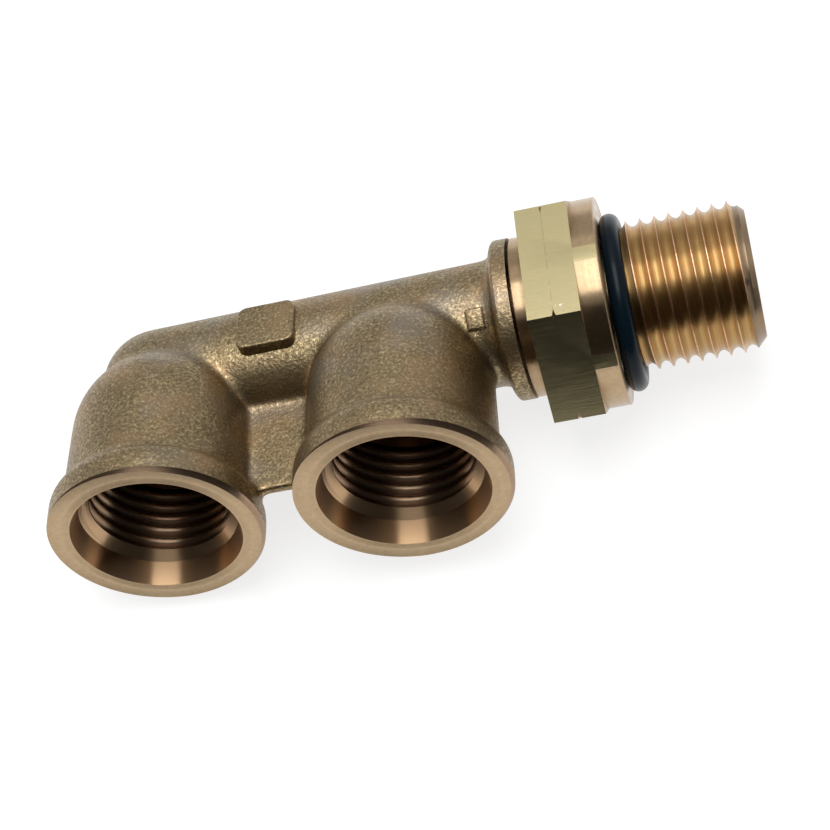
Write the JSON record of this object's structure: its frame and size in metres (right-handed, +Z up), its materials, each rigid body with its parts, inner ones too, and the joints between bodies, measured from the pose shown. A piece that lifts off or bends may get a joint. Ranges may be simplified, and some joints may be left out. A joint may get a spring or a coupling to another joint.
{
  "type": "swivel elbow manifold fitting",
  "caption": "Brass elbow fitting: female ports side by side on a forged run, and a hexagon stud with male thread and O-ring that swivels on the run's end.",
  "frame": {"origin": "middle of the part's box, on the surface that it lies on", "axes": "+X runs along the run towards the stud, 4.3 degrees below the run's own axis; the ports face -Y, turned up 14.4 degrees; +Z is up"},
  "size_m": [0.076, 0.035, 0.0256],
  "materials": {
    "forged_brass": "matt sand-blasted forging, machined at the port faces",
    "turned_brass": "bright turned, hexagon flats as drawn",
    "seal_rubber": "smooth satin",
    "spring_steel": "drawn wire"
  },
  "bodies": {
    "body": {"manifold_body": "forged_brass", "retaining_ring": "spring_steel", "spigot_o_ring": "seal_rubber"},
    "stud": {"swivel_stud": "turned_brass", "stud_o_ring": "seal_rubber"}
  },
  "joints": [
    {"name": "stud_swivel", "type": "hinge", "parent": "body", "child": "stud", "pos_m": [0.01331, 0.00482, 0.01085], "axis": [0.9972, 0, 0.0747], "continuous": true}
  ]
}
